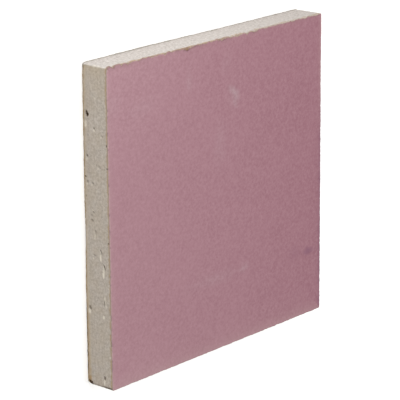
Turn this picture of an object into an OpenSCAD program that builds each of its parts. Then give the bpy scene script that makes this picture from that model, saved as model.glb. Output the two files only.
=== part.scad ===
// Square cut piece of fire-rated drywall: a gypsum core between a face paper and a back paper.
// It lies flat with its face paper up. The origin is the middle of its underside, in millimetres.

/* [Board] */
// Width of the cut piece, along X
board_w = 120; // [60:1:300]
// Length of the cut piece, along Y
board_l = 120; // [60:1:300]
// Thickness over both papers
board_t = 12.5; // [9.5:0.5:25]
// Radius worn on the four upright corners
corner_r = 0.6; // [0.2:0.1:3]

/* [Papers] */
// Thickness of the pink face paper
face_paper_t = 0.4; // [0.2:0.05:0.8]
// Thickness of the brown back paper
back_paper_t = 0.4; // [0.2:0.05:0.8]
// Radius of the nick torn out of the face paper
nick_r = 1.3; // [0.3:0.1:3]
// Corner torn off the back paper, along each side
back_tear = 1.1; // [0.5:0.1:4]

/* [Air voids] */
// Radius of the widest air void that a cut edge opens
void_r = 0.8; // [0.3:0.05:1]
// Voids on each of the two plainer edges
plain_edge_voids = 11; // [0:1:16]

/* [Broken corner] */
// Break along the left edge
break_l = 2; // [1:0.1:12]
// Break along the bottom edge
break_w = 0.7; // [0.4:0.1:8]
// Break up through the core
break_t = 2.6; // [0.5:0.1:6]

/* [Hidden] */

core_t = board_t - face_paper_t - back_paper_t;
core_bottom = back_paper_t;
face_bottom = core_bottom + core_t;

// The nick's place along the top edge, from the left end
nick_share = 0.352;
// How far a void's middle line stands out of the cut face, in void radii
void_rise_share = 0.15;

// Voids on the left edge, each as [share of the length from the top end, share of the core from its
// back, share of the widest radius, half its length in radii, turn up towards the face]
left_void_shares = [
    [0.098, 0.48, 0.35, 1.8, 60],
    [0.150, 0.15, 0.90, 2.1, 20],
    [0.191, 0.45, 0.40, 1.7, 70],
    [0.210, 0.77, 0.40, 1.7, 60],
    [0.257, 0.64, 0.40, 1.8, 10],
    [0.278, 0.13, 0.55, 1.6, 40],
    [0.306, 0.66, 0.50, 1.8, 50],
    [0.358, 0.12, 0.45, 1.4, 40],
    [0.360, 0.35, 0.50, 1.2, 0],
    [0.449, 0.36, 0.55, 1.6, 60],
    [0.507, 0.43, 0.45, 2.4, 10],
    [0.570, 0.64, 0.60, 4.0, 22],
    [0.583, 0.37, 0.45, 1.2, 0],
    [0.617, 0.76, 0.55, 4.2, 12],
    [0.728, 0.75, 0.35, 7.0, 3],
    [0.752, 0.14, 0.70, 1.9, 30],
    [0.772, 0.69, 0.40, 1.2, 0],
    [0.967, 0.69, 0.60, 2.0, 5],
];

// Voids on the top edge, from its left end, in the same terms
top_void_shares = [
    [0.130, 0.22, 0.45, 1.6, 20],
    [0.262, 0.60, 0.40, 1.2, 0],
    [0.430, 0.34, 0.45, 1.6, 60],
    [0.585, 0.70, 0.40, 1.2, 0],
    [0.775, 0.28, 0.45, 1.7, 30],
    [0.935, 0.58, 0.60, 1.6, 15],
];

// Voids on the right and bottom edges, in the same terms: even steps between two bare ends, where each
// void's place in its step, size and turn go by the golden ratio from the edge's own start
bare_end_share = 0.06;
step_shares = [0.2, 0.8];
plain_across_shares = [0.18, 0.82];
plain_radius_shares = [0.35, 0.75];
plain_half_shares = [1.2, 2.6];
plain_turns = [0, 90];
golden_share = (sqrt(5) - 1) / 2;
right_start_share = 0.15;
bottom_start_share = 0.55;
function spread(limits, steps) = limits[0] + (limits[1] - limits[0]) * (steps - floor(steps));
function plain_void_shares(start_share) =
    let (span = 1 - 2 * bare_end_share)
    [for (i = [0:1:plain_edge_voids - 1])
        let (steps = start_share + i * golden_share)
        [
            bare_end_share + span * (i + spread(step_shares, steps)) / plain_edge_voids,
            spread(plain_across_shares, 2 * steps),
            spread(plain_radius_shares, 3 * steps),
            spread(plain_half_shares, 4 * steps),
            spread(plain_turns, 5 * steps),
        ]];

$fn = 48;

// Outline of the piece: a rectangle whose corners are worn round
module outline() {
    inner_w = board_w - 2 * corner_r;
    inner_l = board_l - 2 * corner_r;
    square([board_w, inner_l], center = true);
    square([inner_w, board_l], center = true);
    for (x = [-1, 1] * inner_w / 2, y = [-1, 1] * inner_l / 2)
        translate([x, y])
            circle(r = corner_r);
}

// Half the section of a void along its middle line, which runs along Y: an arc between two tips
module void_section(r, half) {
    arc_r = (half * half + r * r) / (2 * r);
    intersection() {
        translate([r - arc_r, 0])
            circle(r = arc_r);
        translate([0, -2 * half])
            square([2 * r, 4 * half]);
    }
}

// A void in a cut face that lies in the XZ plane with its outside towards -Y
module void(r, half, turn) {
    translate([0, -void_rise_share * r, 0])
        rotate([0, 90 - turn, 0])
            rotate([0, 0, -90])
                rotate_extrude()
                    void_section(r, half);
}

// All the voids of one cut face, which starts at the origin and runs along X for its length
module edge_voids(length, rows) {
    for (row = rows)
        translate([row[0] * length, 0, core_bottom + row[1] * core_t])
            void(row[2] * void_r, row[3] * row[2] * void_r, row[4]);
}

// The voids of the four cut faces, each face laid in its place around the piece
module all_voids() {
    translate([-board_w / 2, board_l / 2, 0])
        rotate([0, 0, -90])
            edge_voids(board_l, left_void_shares);
    translate([-board_w / 2, board_l / 2, 0])
        mirror([0, 1, 0])
            edge_voids(board_w, top_void_shares);
    translate([board_w / 2, -board_l / 2, 0])
        rotate([0, 0, 90])
            edge_voids(board_l, plain_void_shares(right_start_share));
    translate([-board_w / 2, -board_l / 2, 0])
        edge_voids(board_w, plain_void_shares(bottom_start_share));
}

// A block on the corner's side of the plane that meets the three edges at these lengths from it
module corner_break(along_x, along_y, along_z) {
    normal = [1 / along_x, 1 / along_y, 1 / along_z];
    depth = 1 / norm(normal);
    block = 2 * (along_x + along_y + along_z);
    rotate([0, acos(normal.z / norm(normal)), atan2(normal.y, normal.x)])
        translate([-block / 2, -block / 2, depth - block])
            cube(block);
}

module gypsum_core() {
    color("#c4bcb0")
        difference() {
            translate([0, 0, core_bottom])
                linear_extrude(core_t)
                    outline();
            all_voids();
            translate([-board_w / 2, -board_l / 2, core_bottom])
                corner_break(break_w, break_l, break_t);
        }
}

module face_paper() {
    color("#a97f87")
        translate([0, 0, face_bottom])
            linear_extrude(face_paper_t)
                difference() {
                    outline();
                    translate([(nick_share - 1 / 2) * board_w, board_l / 2])
                        circle(r = nick_r);
                }
}

module back_paper() {
    color("#a08a6c")
        linear_extrude(back_paper_t)
            difference() {
                outline();
                translate([-board_w / 2, -board_l / 2])
                    rotate(45)
                        square(sqrt(2) * back_tear, center = true);
            }
}

gypsum_core();
face_paper();
back_paper();
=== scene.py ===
"""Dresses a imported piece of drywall: a sawn gypsum core between a pink face paper and a brown back paper.

The piece lies flat with its face paper up. +Z points out of the face, +Y to the edge that the photograph
shows uppermost and -X to the edge on its left. Shapes are worked out in millimetres and go into the
meshes in metres, which is the frame's unit.
"""

import logging
import math
from dataclasses import dataclass, field
from enum import Enum

import bpy
import numpy as np
from mathutils import Matrix, Vector


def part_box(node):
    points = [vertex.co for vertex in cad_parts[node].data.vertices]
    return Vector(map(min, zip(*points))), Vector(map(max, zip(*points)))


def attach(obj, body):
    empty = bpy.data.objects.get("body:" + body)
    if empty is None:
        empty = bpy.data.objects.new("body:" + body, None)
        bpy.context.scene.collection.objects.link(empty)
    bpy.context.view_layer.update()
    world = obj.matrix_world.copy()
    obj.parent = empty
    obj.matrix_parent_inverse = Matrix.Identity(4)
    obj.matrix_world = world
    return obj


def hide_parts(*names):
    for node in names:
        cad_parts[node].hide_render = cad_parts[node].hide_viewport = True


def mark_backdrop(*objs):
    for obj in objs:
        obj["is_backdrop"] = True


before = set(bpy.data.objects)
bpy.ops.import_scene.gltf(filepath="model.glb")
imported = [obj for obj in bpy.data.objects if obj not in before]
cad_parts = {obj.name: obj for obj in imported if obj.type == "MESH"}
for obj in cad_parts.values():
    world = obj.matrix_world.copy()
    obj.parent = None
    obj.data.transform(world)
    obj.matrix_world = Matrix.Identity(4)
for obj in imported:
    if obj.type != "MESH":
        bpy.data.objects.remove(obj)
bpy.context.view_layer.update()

MM = 0.001
BODY = "root"
LOG = logging.getLogger("drywall")

# Sockets of the Mix node in its colour mode
MIX_FACTOR, MIX_A, MIX_B, MIX_RESULT = 0, 6, 7, 2
# Numbers for the left, bottom, right and top edges
PerEdge = tuple[float, float, float, float]


class Edge(Enum):
    """The four cut edges, named by their place in the photograph, in order round the outline."""

    LEFT = 0
    BOTTOM = 1
    RIGHT = 2
    TOP = 3


class Side(Enum):
    """The two sides of the board that carry a paper."""

    FACE = "face"
    BACK = "back"


def to_linear(colour: str) -> tuple[float, float, float, float]:
    """Turns an sRGB hex colour into linear values.

    Args:
        colour: six hex digits after a hash sign.

    Returns:
        Red, green, blue and an alpha of 1.
    """
    srgb = np.array([int(colour[i : i + 2], 16) for i in (1, 3, 5)]) / 255
    linear = np.where(srgb <= 0.04045, srgb / 12.92, ((srgb + 0.055) / 1.055) ** 2.4)
    return (*linear.tolist(), 1.0)


def add_node(
    tree: bpy.types.NodeTree,
    kind: str,
    settings: dict[str, object] | None = None,
    inputs: dict[str | int, object] | None = None,
) -> bpy.types.Node:
    """Adds a node with its settings and links.

    Args:
        tree: the node tree that gets it.
        kind: the node's type, without ShaderNode in front.
        settings: properties by name.
        inputs: by name or number, a value, an output socket, or a node for its first output.

    Returns:
        The new node.
    """
    node = tree.nodes.new("ShaderNode" + kind)
    for name, value in (settings or {}).items():
        setattr(node, name, value)
    for key, value in (inputs or {}).items():
        source = value.outputs[0] if isinstance(value, bpy.types.Node) else value
        if isinstance(source, bpy.types.NodeSocket):
            tree.links.new(source, node.inputs[key])
        else:
            node.inputs[key].default_value = value
    return node


def start_tree(owner: bpy.types.Material | bpy.types.World) -> bpy.types.NodeTree:
    """Gives a material or a world an empty node tree.

    Args:
        owner: the material or world.

    Returns:
        Its node tree.
    """
    owner.use_nodes = True
    owner.node_tree.nodes.clear()
    return owner.node_tree


@dataclass(frozen=True)
class Slope:
    """A level that is 0 up to the start, full from the end on and a straight line between them."""

    level: float
    start: float
    end: float

    def at(self, places: np.ndarray | float) -> np.ndarray:
        """Gives the level at each place."""
        return self.level * np.clip((places - self.start) / (self.end - self.start), 0, 1)


@dataclass(frozen=True)
class Bell:
    """A bell curve, level times exp(-d^2), with d the distance from the middle in widths."""

    level: float
    middle: float
    width: np.ndarray | float

    def at(self, places: np.ndarray) -> np.ndarray:
        """Gives the level at each place."""
        return self.level * np.exp(-(((places - self.middle) / self.width) ** 2))


@dataclass(frozen=True)
class Noise:
    """Smooth noise of a strength either way, on a lattice with a cell size in millimetres and a seed."""

    strength: float
    cell: float
    seed: int

    def at(self, along: np.ndarray, across: np.ndarray | float, period: float) -> np.ndarray:
        """Gives the noise on a band that closes on itself.

        Random values sit on a lattice of square cells, whole numbers of which go round the band, and
        between them the value follows 3t^2 - 2t^3 in each direction.

        Args:
            along: places along the band, in millimetres.
            across: places across it, in millimetres, from 0 up.
            period: length round the band, in millimetres.

        Returns:
            An array of the shape that the two places broadcast to.
        """
        columns = max(2, round(period / self.cell))
        rows = int(np.max(across) / self.cell) + 2
        lattice = np.random.default_rng(self.seed).uniform(-1, 1, (rows, columns))
        u, v = np.broadcast_arrays(along / period * columns, across / self.cell)
        column, row = np.floor(u).astype(int), np.floor(v).astype(int)
        s, t = u - column, v - row
        s, t = s * s * (3 - 2 * s), t * t * (3 - 2 * t)
        left, right = column % columns, (column + 1) % columns
        low = lattice[row, left] * (1 - s) + lattice[row, right] * s
        high = lattice[row + 1, left] * (1 - s) + lattice[row + 1, right] * s
        return self.strength * (low * (1 - t) + high * t)


def closed_mesh(name: str, rings: np.ndarray, poles: np.ndarray) -> bpy.types.Object:
    """Makes one closed surface from rings that run counter-clockwise, seen from above.

    Point i of ring j joins (i + 1, j), (i + 1, j + 1) and (i, j + 1) in a four-sided face, with i closing
    on itself, and the first and the last ring each close to a pole in a fan of triangles.

    Args:
        name: name of the object.
        rings: points in millimetres, shaped (rings, points of a ring, 3), from the underside up.
        poles: the underside's and the top's middle points, in millimetres.

    Returns:
        The new object, at the origin, smooth, with its points in ring order and then the two poles.
    """
    rows, around, _ = rings.shape
    first = np.arange(around)
    following = (first + 1) % around
    low = (np.arange(rows - 1) * around)[:, None]
    quads = np.stack([low + first, low + following, low + around + following, low + around + first], -1)
    low_pole, high_pole = rows * around, rows * around + 1
    top = (rows - 1) * around
    low_fan = np.stack([np.full(around, low_pole), following, first], -1)
    high_fan = np.stack([top + first, top + following, np.full(around, high_pole)], -1)
    corners = np.concatenate([low_fan.ravel(), quads.ravel(), high_fan.ravel()])
    totals = np.concatenate([np.full(around, 3), np.full((rows - 1) * around, 4), np.full(around, 3)])
    points = np.concatenate([rings.reshape(-1, 3), poles]) * MM
    mesh = bpy.data.meshes.new(name)
    mesh.vertices.add(len(points))
    mesh.vertices.foreach_set("co", points.astype(np.float32).ravel())
    mesh.loops.add(len(corners))
    mesh.loops.foreach_set("vertex_index", corners.astype(np.int32))
    mesh.polygons.add(len(totals))
    mesh.polygons.foreach_set("loop_start", (np.cumsum(totals) - totals).astype(np.int32))
    mesh.polygons.foreach_set("use_smooth", np.ones(len(totals), bool))
    mesh.update(calc_edges=True)
    piece = bpy.data.objects.new(name, mesh)
    bpy.context.scene.collection.objects.link(piece)
    return piece


def add_attribute(piece: bpy.types.Object, name: str, rings: np.ndarray) -> None:
    """Gives each point of a closed mesh a number for its material to read, and the two poles 0.

    Args:
        piece: an object that closed_mesh made.
        name: name of the attribute.
        rings: one number for each ring point.
    """
    values = np.append(rings.ravel(), [0, 0]).astype(np.float32)
    piece.data.attributes.new(name, "FLOAT", "POINT").data.foreach_set("value", values)


@dataclass
class Outline:
    """The rounded rectangle that the board was cut to, as points in order round it.

    They go counter-clockwise from the top left corner, down the left edge. Each point has an outward
    normal, the number of its edge, and its distances along that edge and round the outline.
    """

    width: float
    length: float
    corner_r: float = 0.6
    spacing: float = 0.25
    corner_points: int = 4
    inset_reach: float = 1.0
    inset_gain: float = 4.0
    points: np.ndarray = field(init=False)
    normals: np.ndarray = field(init=False)
    edges: np.ndarray = field(init=False)
    along: np.ndarray = field(init=False)
    rounds: np.ndarray = field(init=False)

    def __post_init__(self) -> None:
        """Walks the edges: each is a straight run, and then a quarter circle that turns to the next."""
        parts = []
        for edge in Edge:
            turn = math.pi + edge.value * math.pi / 2
            normal = np.array([math.cos(turn), math.sin(turn)])
            tangent = np.array([-normal[1], normal[0]])
            run = self.run(edge)
            depth = self.width + self.length - run
            start = normal * depth / 2 - tangent * run / 2
            steps = round((run - 2 * self.corner_r) / self.spacing)
            straight = np.linspace(self.corner_r, run - self.corner_r, steps, endpoint=False)
            angles = np.linspace(0, math.pi / 2, self.corner_points, endpoint=False)
            arc_normals = np.outer(np.cos(angles), normal) + np.outer(np.sin(angles), tangent)
            centre = start + tangent * (run - self.corner_r) - normal * self.corner_r
            arc_along = run - self.corner_r + self.corner_r * np.sin(angles)
            parts.append((
                np.concatenate([start + np.outer(straight, tangent), centre + arc_normals * self.corner_r]),
                np.concatenate([np.tile(normal, (steps, 1)), arc_normals]),
                np.full(steps + self.corner_points, edge.value),
                np.concatenate([straight, arc_along]),
            ))
        self.points, self.normals, self.edges, self.along = map(np.concatenate, zip(*parts))
        gaps = np.linalg.norm(np.roll(self.points, -1, axis=0) - self.points, axis=1)
        self.rounds = np.concatenate([[0], np.cumsum(gaps)[:-1]])

    def run(self, edge: Edge) -> float:
        """Gives an edge's length, in millimetres."""
        return self.length if edge in (Edge.LEFT, Edge.RIGHT) else self.width

    def perimeter(self) -> float:
        """Gives the length round the outline, in millimetres."""
        return 2 * (self.width + self.length) - (8 - 2 * math.pi) * self.corner_r

    def on(self, edge: Edge) -> np.ndarray:
        """Tells which points are on an edge."""
        return self.edges == edge.value

    def by_edge(self, left: float, bottom: float, right: float, top: float) -> np.ndarray:
        """Gives each point the value of its edge."""
        return np.array([left, bottom, right, top])[self.edges]

    def side_shares(self) -> np.ndarray:
        """Gives places as shares of the left edge from its top end, or of the right edge from its foot."""
        return self.along / self.length

    def top_shares(self) -> np.ndarray:
        """Gives places as shares of the top edge from its left end."""
        return 1 - self.along / self.width

    def from_corners(self) -> np.ndarray:
        """Gives distances from the nearer end of an edge, in millimetres."""
        runs = self.by_edge(self.length, self.width, self.length, self.width)
        return np.minimum(self.along, runs - self.along)

    def from_top_left(self) -> np.ndarray:
        """Gives distances of the left and the top edge's points from the corner between them."""
        return np.where(self.on(Edge.LEFT), self.along, self.width - self.along)

    def noise(self, noise: Noise, across: np.ndarray | float = 0.0) -> np.ndarray:
        """Gives smooth noise round the outline: on one line, or in one row for each place across."""
        return noise.at(self.rounds, across, self.perimeter())

    def inset(self, distance: np.ndarray | float) -> np.ndarray:
        """Draws the points in, each coordinate by the distance times 1 - (gap to its side) / reach.

        Away from the corners a point moves straight in, and a corner keeps its round, so that the rings of
        a ragged rim don't fold.

        Args:
            distance: how far each point's side moves in, in millimetres.

        Returns:
            The points, drawn in.
        """
        half = np.array([self.width, self.length]) / 2
        inward = np.broadcast_to(distance, len(self.points))[:, None]
        reach = np.minimum(self.inset_gain * np.abs(inward) + self.inset_reach, half)
        share = np.clip(1 - (half - np.abs(self.points)) / reach, 0, 1)
        return self.points - np.sign(self.points) * inward * share


@dataclass(frozen=True)
class Void:
    """An air bubble that the saw opened on a cut edge: a pit between two tips, with more or less painted
    shade in it.
    """

    edge: Edge
    along_share: float
    across_share: float
    radius_share: float
    half_radii: float
    turn: float
    # Strength of the painted shade in its pocket
    shade: float


# Left edge, from its top end: place along it, place across the core from its back, share of the widest
# radius, half the length in radii, turn up towards the face in degrees, strength of painted shade. With a
# turn of over 90 a slender void has its lip with the painted highlight at its upper end
LEFT_VOIDS = (
    (0.098, 0.48, 0.35, 1.8, 60, 0.00),
    (0.150, 0.15, 0.90, 2.1, 20, 1.00),
    (0.191, 0.45, 0.40, 1.7, 70, 0.50),
    (0.210, 0.77, 0.40, 1.7, 60, 0.35),
    (0.257, 0.64, 0.40, 1.8, 10, 0.12),
    (0.278, 0.13, 0.55, 1.6, 40, 0.58),
    (0.306, 0.66, 0.50, 1.8, 50, 0.15),
    (0.358, 0.12, 0.45, 1.4, 40, 0.42),
    (0.360, 0.35, 0.50, 1.2, 0, 0.55),
    (0.449, 0.36, 0.55, 1.6, 60, 0.25),
    (0.507, 0.43, 0.45, 2.4, 10, 0.38),
    (0.570, 0.64, 0.60, 4.0, 17, 0.95),
    (0.583, 0.37, 0.45, 1.2, 0, 0.38),
    (0.617, 0.755, 0.55, 4.2, 8, 1.00),
    (0.728, 0.75, 0.35, 7.0, 183, 0.50),
    (0.752, 0.14, 0.70, 1.9, 30, 0.50),
    (0.772, 0.69, 0.40, 1.2, 0, 0.00),
    (0.967, 0.69, 0.60, 2.0, 5, 0.60),
)
# Shallow pits on the left edge, most of them beside the two papers, in the same terms
LEFT_PITS = (
    (0.236, 0.96, 0.45, 1.1, 0, 0.80),
    (0.306, 0.96, 0.40, 1.1, 0, 0.70),
    (0.344, 0.04, 0.45, 1.1, 0, 0.90),
    (0.403, 0.05, 0.40, 1.1, 0, 0.55),
    (0.460, 0.29, 0.50, 2.2, 50, 0.22),
    (0.476, 0.30, 0.60, 2.0, 70, 0.28),
    (0.535, 0.96, 0.40, 1.1, 0, 0.70),
)
# Top edge, from its left end, in the same terms
TOP_VOIDS = (
    (0.130, 0.22, 0.45, 1.6, 20, 0.10),
    (0.262, 0.60, 0.40, 1.2, 0, 0.08),
    (0.430, 0.34, 0.45, 1.6, 60, 0.10),
    (0.585, 0.70, 0.40, 1.2, 0, 0.08),
    (0.775, 0.28, 0.45, 1.7, 30, 0.10),
    (0.935, 0.58, 0.60, 1.6, 15, 0.12),
)


@dataclass(frozen=True)
class Flake:
    """A pale spot on the left edge where the saw tore a crumb out, mostly at the lower lip of a void, where
    it is partly a painted highlight.
    """

    along_share: float
    across_share: float
    half_length: float
    half_width: float
    turn: float
    cover: float = 0.95


# Pale spots: freshly broken gypsum, with a painted highlight where they lie on a void's lower lip
FLAKES = (
    Flake(0.098, 0.48, 1.0, 0.35, 45, 0.55),
    Flake(0.181, 0.075, 1.8, 0.70, 0),
    Flake(0.197, 0.44, 0.6, 0.35, 20),
    Flake(0.214, 0.74, 0.6, 0.35, 20, 0.70),
    Flake(0.288, 0.10, 0.9, 0.45, 0),
    Flake(0.311, 0.58, 0.6, 0.40, 0, 0.60),
    Flake(0.365, 0.10, 0.5, 0.35, 0),
    Flake(0.365, 0.31, 0.5, 0.35, 0),
    Flake(0.382, 0.51, 0.5, 0.30, 0, 0.65),
    Flake(0.444, 0.33, 0.4, 0.40, 0),
    Flake(0.523, 0.39, 1.3, 0.32, -3, 0.70),
    Flake(0.586, 0.615, 1.6, 0.45, 12),
    Flake(0.593, 0.32, 0.4, 0.35, 0, 0.75),
    Flake(0.636, 0.72, 1.9, 0.48, 3),
    Flake(0.716, 0.765, 1.6, 0.40, 4, 0.85),
    Flake(0.734, 0.82, 1.2, 0.22, 4, 0.5),
    Flake(0.763, 0.11, 1.4, 0.80, 25),
    Flake(0.772, 0.69, 0.8, 0.60, 0),
    Flake(0.895, 0.93, 0.5, 0.30, 0, 0.70),
    Flake(0.982, 0.68, 1.6, 0.40, 0),
)


@dataclass(frozen=True)
class Tear:
    """A tear in the top rim of the face paper: depth times 1 - (d / half width)^power, in millimetres."""

    share: float
    half_width: float
    depth: float
    power: float = 1.0

    def distance(self, outline: Outline) -> np.ndarray:
        """Gives how far along the top edge each point is from the tear's middle, in half widths."""
        return np.abs(outline.top_shares() - self.share) * outline.width / self.half_width

    def depths(self, outline: Outline) -> np.ndarray:
        """Gives the tear's depth at each point."""
        return self.depth * np.clip(1 - self.distance(outline) ** self.power, 0, 1)


# The outer ply is torn back in a nick, which goes deepest, and in a few smaller places
NICK = Tear(0.353, 2.0, 1.4, 1.2)
TEARS = (
    NICK,
    Tear(0.255, 0.9, 0.6),
    Tear(0.486, 1.6, 0.4),
    Tear(0.538, 1.2, 0.4),
    Tear(0.813, 1.0, 0.4),
)

# Round bites out of the inner plies, where the core shows, and bumps, whose depth is below 0
BITES = tuple(Tear(share, half_width, depth, 2.0) for share, half_width, depth in (
    (0.009, 1.2, -0.34),
    (0.024, 0.8, 0.28),
    (0.044, 2.2, -0.31),
    (0.091, 1.4, 0.18),
    (0.122, 0.8, -0.13),
    (0.133, 1.5, 0.12),
    (0.156, 1.2, -0.34),
    (0.256, 1.0, 0.18),
    (0.270, 0.9, -0.30),
    (0.283, 0.8, 0.15),
    (0.421, 1.2, 0.10),
    (0.488, 1.0, -0.30),
    (0.525, 0.9, -0.12),
    (0.553, 1.3, 0.22),
    (0.572, 0.9, 0.18),
    (0.591, 0.9, 0.14),
    (0.633, 1.8, 0.30),
    (0.664, 1.2, 0.30),
    (0.687, 0.7, -0.08),
    (0.718, 0.8, 0.06),
    (0.746, 0.8, -0.18),
    (0.835, 0.6, 0.16),
    (0.846, 0.7, -0.20),
    (0.885, 0.8, -0.34),
    (0.905, 0.8, -0.14),
    (0.935, 1.4, -0.24),
    (0.947, 0.8, -0.12),
))
# Stretches of that rim where the outer ply is rubbed brown: place and half length as shares of it, cover
RUBS = tuple(Bell(cover, share, half_share) for share, half_share, cover in (
    (0.010, 0.015, 0.15),
    (0.053, 0.055, 0.25),
    (0.046, 0.015, 0.15),
    (0.083, 0.010, 0.30),
    (0.148, 0.010, 0.15),
    (0.270, 0.008, 0.25),
    (0.306, 0.008, 0.25),
    (0.377, 0.040, 0.46),
    (0.405, 0.010, 0.20),
    (0.521, 0.030, 0.38),
    (0.665, 0.016, 0.35),
    (0.736, 0.006, 0.20),
    (0.850, 0.150, 0.08),
))


def bite_depths(outline: Outline) -> np.ndarray:
    """Gives how deep the face paper's top rim is bitten at each point, in millimetres."""
    return sum(bite.depths(outline) for bite in BITES)


def plain_voids(edge: Edge, start_share: float, count: int = 11) -> list[Void]:
    """Spreads the voids of an edge that the photograph doesn't show.

    They step evenly between two bare ends, and each one's place in its step, size and turn is a multiple
    of the golden ratio, without its whole part, between two limits. The wider ones get more painted shade.

    Args:
        edge: which edge.
        start_share: where the sequence starts.
        count: how many voids.

    Returns:
        The voids.
    """
    bare_end, shade_gain = 0.06, 0.8
    step = np.arange(count)
    golden = start_share + step * (math.sqrt(5) - 1) / 2
    # Place in the step, place across the core, share of the widest radius, half the length in radii, turn
    limits = ((0.2, 0.8), (0.18, 0.82), (0.35, 0.75), (1.2, 2.6), (0, 90))
    columns = [low + (high - low) * (golden * (i + 1) % 1) for i, (low, high) in enumerate(limits)]
    columns[0] = bare_end + (1 - 2 * bare_end) * (step + columns[0]) / count
    columns.append(shade_gain * columns[2])
    return [Void(edge, *row) for row in np.stack(columns, -1).tolist()]


def all_voids() -> list[Void]:
    """Lists the voids of the four cut edges.

    Returns:
        The voids, each of which has the noise of its number.
    """
    return [
        *(Void(Edge.LEFT, *row) for row in LEFT_VOIDS + LEFT_PITS),
        *(Void(Edge.TOP, *row) for row in TOP_VOIDS),
        *plain_voids(Edge.RIGHT, start_share=0.15),
        *plain_voids(Edge.BOTTOM, start_share=0.55),
    ]


@dataclass(frozen=True)
class Smudge:
    """A soft mark on the face paper, at shares of the face from its left and its top."""

    x_share: float
    y_share: float
    width: float
    height: float
    turn: float
    strength: float


# Pale saw dust and a painted sheen, which lie thicker towards two corners on the left
DUST_AND_SHEEN = (
    Smudge(0.000, 0.000, 70, 45, 0, 0.05),
    Smudge(0.030, 1.000, 45, 25, 0, 0.02),
)
# Grey plaster, rubbed into the paper
SMEARS = (
    Smudge(0.565, 0.178, 5.5, 2.6, -40, 0.16),
    Smudge(0.577, 0.203, 2.6, 3.6, 0, 0.15),
    Smudge(0.560, 0.190, 6, 7, -20, 0.05),
    Smudge(0.500, 0.330, 6, 13, -5, 0.06),
    Smudge(0.355, 0.110, 3, 7, 5, 0.08),
    Smudge(0.150, 0.150, 11, 5, 10, 0.04),
    Smudge(0.030, 0.115, 5, 7, 0, 0.04),
    Smudge(0.530, 0.080, 4, 8, -8, 0.04),
    Smudge(0.612, 0.760, 4, 3, 15, 0.13),
    Smudge(0.470, 0.764, 22, 4, 0, 0.07),
)
# Bruises in the paper's dye
BRUISES = (
    Smudge(0.939, 0.788, 5.2, 2.3, 0, 0.38),
    Smudge(0.870, 0.780, 6, 4, 0, 0.10),
)


@dataclass(frozen=True)
class MattSurface:
    """How a dull surface takes the light: its roughness, its gloss, and its relief in millimetres."""

    roughness: float
    specular: float
    relief: float
    relief_strength: float = 1.0

    def close(
        self, tree: bpy.types.NodeTree, colour: bpy.types.NodeSocket, height: bpy.types.Node
    ) -> None:
        """Ends a material's tree with its relief, its shader and its output.

        Args:
            tree: the material's node tree.
            colour: the output that gives the colour.
            height: the node that gives the height of the relief.
        """
        bump = add_node(tree, "Bump", None, {
            "Height": height, "Strength": self.relief_strength, "Distance": self.relief * MM})
        shader = add_node(tree, "BsdfPrincipled", None, {
            "Base Color": colour, "Normal": bump,
            "Roughness": self.roughness, "Specular IOR Level": self.specular})
        add_node(tree, "OutputMaterial", None, {"Surface": shader})


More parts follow.
